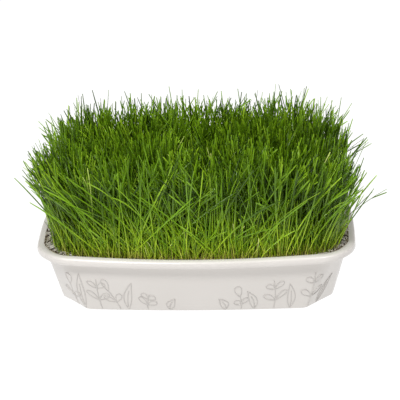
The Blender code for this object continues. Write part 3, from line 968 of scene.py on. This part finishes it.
def plantShoots(bench, given):
    # one point for each leaf, which carries all that its blade needs
    habit = bladeHabit
    points = bench.scatter(given)
    xyz = bench.split(bench.add("GeometryNodeInputPosition"))
    across = bench.math("DIVIDE", xyz[0], given["Half Length"])
    along = bench.math("DIVIDE", xyz[1], given["Half Width"])
    tufts = bench.add("ShaderNodeTexNoise",
                      {"Vector": bench.vector(xyz[0], xyz[1], 0.0), "Scale": given["Tuft Scale"],
                       "Detail": 2.0})
    tuft = bench.split(tufts.outputs["Color"])
    isYoung = bench.chance(given["Young Share"])
    leanX, leanY, toBack = swardLean(bench, given, across, along, tuft)
    lowX = bench.product(given["Low X"], bench.draw(*habit["leftLimit"]))
    highX = bench.product(given["High X"], bench.draw(*habit["rightLimit"]))
    leanX = heldWithin(bench, xyz[0], leanX, lowX, highX)
    leanY = heldWithin(bench, xyz[1], leanY, given["Low Y"], given["High Y"])
    length = swardLength(bench, given, across, toBack, tuft[2], isYoung)
    grown = bench.math("DIVIDE", length, given["Length"])
    leanX, leanY = bench.product(leanX, grown), bench.product(leanY, grown)
    reach = bench.math("SQRT", bench.total(bench.product(leanX, leanX), bench.product(leanY, leanY)))
    furthest = bench.product(length, habit["longestReach"])
    tooFar = bench.math("MINIMUM", 1.0, bench.math("DIVIDE", furthest, reach))
    leanX, leanY, reach = (bench.product(value, tooFar) for value in (leanX, leanY, reach))
    rise = bench.math("SQRT", bench.less(bench.product(length, length), bench.product(reach, reach)))
    rise = bench.math("MINIMUM", rise, given["High Rise"])
    placed = bench.store(points, "bladeLean", bench.vector(leanX, leanY, rise))
    width = bench.product(given["Width"], bench.draw(*habit["width"]),
                          bench.rest(bench.product(isYoung, habit["youngNarrower"])))
    droop = bench.product(bench.draw(*habit["droop"]), bench.draw(0.0, 1.0))
    placed = bench.store(placed, "bladeForm", bench.vector(bench.draw(*habit["bend"]), droop, width))
    shade = bench.product(bench.draw(0.0, 1.0), bench.draw(0.25, 1.0))
    shade = bench.total(shade, bench.product(isYoung, habit["youngShade"]))
    facing, twist = bench.draw(*habit["facing"]), bench.draw(*habit["twist"])
    placed = bench.store(placed, "bladeTurn", bench.vector(facing, twist, shade))
    swayX, swayY = bench.draw(*habit["sway"]), bench.draw(*habit["sway"])
    sway = bench.vector(swayX, swayY, bench.draw(*habit["forkStart"]))
    placed = bench.store(placed, "bladeSway", sway)
    heading = bench.draw(0.0, math.tau)
    atEnd = bench.math("POWER", bench.math("ABSOLUTE", across), 4.0)
    fork = bench.product(given["Fork"], bench.draw(0.4, 1.0), bench.spread(atEnd, 1.0, habit["endFork"]))
    fork = bench.vector(bench.product(fork, bench.math("COSINE", heading)),
                        bench.product(fork, bench.math("SINE", heading), 0.3), 0.0)
    placed = bench.store(placed, "bladeFork", fork)
    hasSecond = bench.chance(given["Second Share"])
    leaves = bench.add("GeometryNodeDuplicateElements",
                       {"Geometry": placed, "Amount": bench.total(1.0, hasSecond)}, domain="POINT")
    second = leaves.outputs["Duplicate Index"]
    # how far inside the sward a leaf stands, which sets the painted shade on the lower parts of inner
    # blades
    fromEdge = bench.math("MAXIMUM", bench.product(bench.math("ABSOLUTE", across), 0.92),
                          bench.math("ABSOLUTE", along))
    fromEdge = bench.math("DIVIDE", bench.rest(fromEdge), given["Edge Share"])
    return bench.store(leaves, "bladeOrder", bench.vector(second, bench.spread(fromEdge, 0.0, 1.0), 0.0))


def bladeTree():
    habit = bladeHabit
    bench, given = newGeometryTree("wheatgrassBlades", bladeSettings)
    leaves = plantShoots(bench, given)
    blades = bench.standLines(leaves, bladePoints)
    share = bench.add("GeometryNodeSplineParameter").outputs["Factor"]
    leanX, leanY, rise = bench.recall("bladeLean")
    bend, droop, width = bench.recall("bladeForm")
    facing, twist, shade = bench.recall("bladeTurn")
    swayX, swayY, forkStart = bench.recall("bladeSway")
    forkX, forkY, _ = bench.recall("bladeFork")
    second, inner, _ = bench.recall("bladeOrder")
    begin = bench.product(second, forkStart)
    path = bench.total(begin, bench.product(share, bench.rest(begin)))
    curved = bench.total(bench.product(path, 0.45), bench.product(bench.math("POWER", path, bend), 0.55))
    bulge = bench.product(path, bench.rest(path), 4.0)
    parted = bench.product(second, bench.math("POWER", bench.less(path, begin), 1.3))
    x = bench.total(bench.product(leanX, curved), bench.product(swayX, bulge),
                    bench.product(forkX, parted, habit["parting"]))
    y = bench.total(bench.product(leanY, curved), bench.product(swayY, bulge),
                    bench.product(forkY, parted, habit["parting"]))
    nod = bench.product(droop, bench.math("POWER", path, 4.0))
    lower = bench.less(bench.product(path, path), bench.product(begin, begin))
    lower = bench.product(second, habit["secondLower"], lower)
    up = bench.product(rise, bench.less(bench.less(path, nod), lower))
    z = bench.less(bench.less(up, share), given["Root Depth"])
    blades = bench.store(blades, "bladePlace", bench.vector(path, inner, shade))
    blades = bench.add("GeometryNodeSetPosition", {"Geometry": blades, "Offset": bench.vector(x, y, z)})
    blades = bench.add("GeometryNodeSetCurveNormal", {"Curve": blades}, mode="Z_UP")
    tilt = bench.total(facing, bench.product(twist, share), bench.product(second, 1.2))
    blades = bench.add("GeometryNodeSetCurveTilt", {"Curve": blades, "Tilt": tilt})
    taper = bench.add("ShaderNodeFloatCurve", {"Value": share})
    shape = taper.mapping.curves[0]
    foot, *between, tip = habit["taper"]
    for place, value in between:
        shape.points.new(place, value)
    shape.points[0].location = foot
    shape.points[-1].location = tip
    taper.mapping.update()
    fold = bench.add("GeometryNodeTransform", {"Geometry": bench.circle(3), "Scale": habit["fold"]})
    sideways = bench.split(bench.add("GeometryNodeInputPosition"))[0]
    fold = bench.store(fold, "bladeAcross", sideways, "FLOAT")
    return endTree(bench, given, bench.sweep(blades, fold, bench.product(taper, width)))


def swardInset():
    return innerInset(matForm["top"]) + matForm["gap"] + matForm["swardMargin"]


def makeSward(leaf):
    inset = swardInset()
    tree = bladeTree()
    halfWidth = bladeSettings["Half Width"]
    for i, (front, back) in enumerate(zip(swardBands, swardBands[1:])):
        bed = sheetMesh(f"bed{i}", matRings([inset, inset + matForm["bedStep"]]))
        keepPart(bed, (1, 0, 0), *matForm["swardEnds"])
        keepPart(bed, (0, 1, 0), front * halfWidth if i else -1, back * halfWidth if back < 1 else 1)
        settings = {**bladeSettings, "Seed": bladeSettings["Seed"] + i}
        band = growFrom(f"grass_band_{i + 1}", bed, tree, settings, leaf)
        band.data.shade_smooth()
        band.data.set_sharp_from_angle(angle=math.radians(bladeHabit["sharpAngle"]))
        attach(band, "root")
        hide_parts("grass")
        print("grass band", i + 1, len(band.data.polygons), "faces")


def makeFringe(leaf):
    # fine young shoots close to the wall, where the sward is seen from its side
    inset = swardInset()
    rings = matRings([inset, inset + matForm["bedStep"], inset + matForm["fringeWidth"]])[:3]
    strip = sheetMesh("fringeBed", rings)
    keepPart(strip, (1, 0, 0), *matForm["swardEnds"])
    fringe = growFrom("grass_fringe", strip, bladeTree(), fringeSettings, leaf)
    fringe.data.shade_smooth()
    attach(fringe, "root")
    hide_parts("grass")
    print("fringe", len(fringe.data.polygons), "faces")


def keepPart(mesh, axis, low, high):
    # cuts the bed to the part between two planes across an axis
    bm = bmesh.new()
    bm.from_mesh(mesh)
    for place, outward in ((low, -1), (high, 1)):
        geometry = bm.verts[:] + bm.edges[:] + bm.faces[:]
        bmesh.ops.bisect_plane(bm, geom=geometry, plane_co=Vector(axis) * place,
                               plane_no=Vector(axis) * outward, clear_outer=True)
    bm.to_mesh(mesh)
    bm.free()


# The scene round the object

photoView = {"lens": 107.9, "elevation": 23.37, "turn": -2.49, "roll": 1.53,
             "distance": 1186.2 * mm, "across": 2.74 * mm, "rise": 71.34 * mm}


def makeCamera():
    view = photoView
    elevation, turn, roll = (math.radians(view[key]) for key in ("elevation", "turn", "roll"))
    unturn = Matrix.Rotation(-turn, 3, "Z")
    right = unturn @ Vector((1, 0, 0))
    forward = unturn @ Vector((0, math.cos(elevation), -math.sin(elevation)))
    up = unturn @ Vector((0, math.sin(elevation), math.cos(elevation)))
    place = right * view["across"] + up * view["rise"] - forward * view["distance"]
    cameraRight = right * math.cos(roll) - up * math.sin(roll)
    cameraUp = right * math.sin(roll) + up * math.cos(roll)
    camera = bpy.data.objects.new("Camera", bpy.data.cameras.new("Camera"))
    bpy.context.scene.collection.objects.link(camera)
    turnTo = Matrix((cameraRight, cameraUp, -forward)).transposed().to_4x4()
    camera.matrix_world = Matrix.Translation(place) @ turnTo
    camera.data.lens = view["lens"]
    bpy.context.scene.camera = camera


studio = {
    "skyColor": (1.0, 0.99, 0.975),
    "skyStrength": 0.3,
    "lamps": {
        "Key": {"energy": 14.5, "size": 0.3, "place": (-0.38, -1.03, 1.34)},
        "Top Left": {"energy": 5.5, "size": 0.4, "place": (-0.6, -0.35, 1.4)},
        "Top Right": {"energy": 7.0, "size": 0.4, "place": (0.6, -0.35, 1.4)},
    },
    "floorColor": (0.1, 0.1, 0.1),
    "floorGlow": 0.97,
    "floorSize": 8.0,
}


def makeStudio():
    world = bpy.data.worlds.new("Studio")
    bpy.context.scene.world = world
    world.use_nodes = True
    background = world.node_tree.nodes["Background"]
    background.inputs["Color"].default_value = (*studio["skyColor"], 1)
    background.inputs["Strength"].default_value = studio["skyStrength"]
    for name, values in studio["lamps"].items():
        light = bpy.data.lights.new(name, "AREA")
        light.energy = values["energy"]
        light.size = values["size"]
        lamp = bpy.data.objects.new(name, light)
        bpy.context.scene.collection.objects.link(lamp)
        lamp.location = values["place"]
        aim = Vector((0, 0, 0.06)) - lamp.location
        lamp.rotation_euler = aim.to_track_quat("-Z", "Y").to_euler()
    bm = bmesh.new()
    bmesh.ops.create_grid(bm, x_segments=1, y_segments=1, size=studio["floorSize"] / 2)
    material, _, shader = newMaterial("paleFloor", {"Roughness": 0.9})
    shader.inputs["Base Color"].default_value = (*studio["floorColor"], 1)
    shader.inputs["Emission Color"].default_value = (1, 1, 1, 1)
    shader.inputs["Emission Strength"].default_value = studio["floorGlow"]
    floor = meshPiece("floor", bm, material)
    bpy.context.scene.view_settings.view_transform = "Standard"


def main():
    group = mottleGroup()
    makeTray(glazeMaterial("warmWhiteGlaze", group))
    # the relief uses the tray's glaze darkened, painted shade for its raised lines
    makeRelief(glazeMaterial("reliefShadedGlaze", group, glazeLook["reliefPaintedShade"]))
    print("tray made")
    makeMat(matMaterial(group))
    makeRootsAndGrains(rootMaterial(group), grainMaterial(group))
    print("mat, roots and grains made")
    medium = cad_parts["growing_medium"]
    medium.data.materials.clear()
    medium.data.materials.append(earthMaterial(group))
    leaf = leafMaterial(group)
    makeSward(leaf)
    makeFringe(leaf)
    makeCamera()
    makeStudio()
    print("studio made")


main()
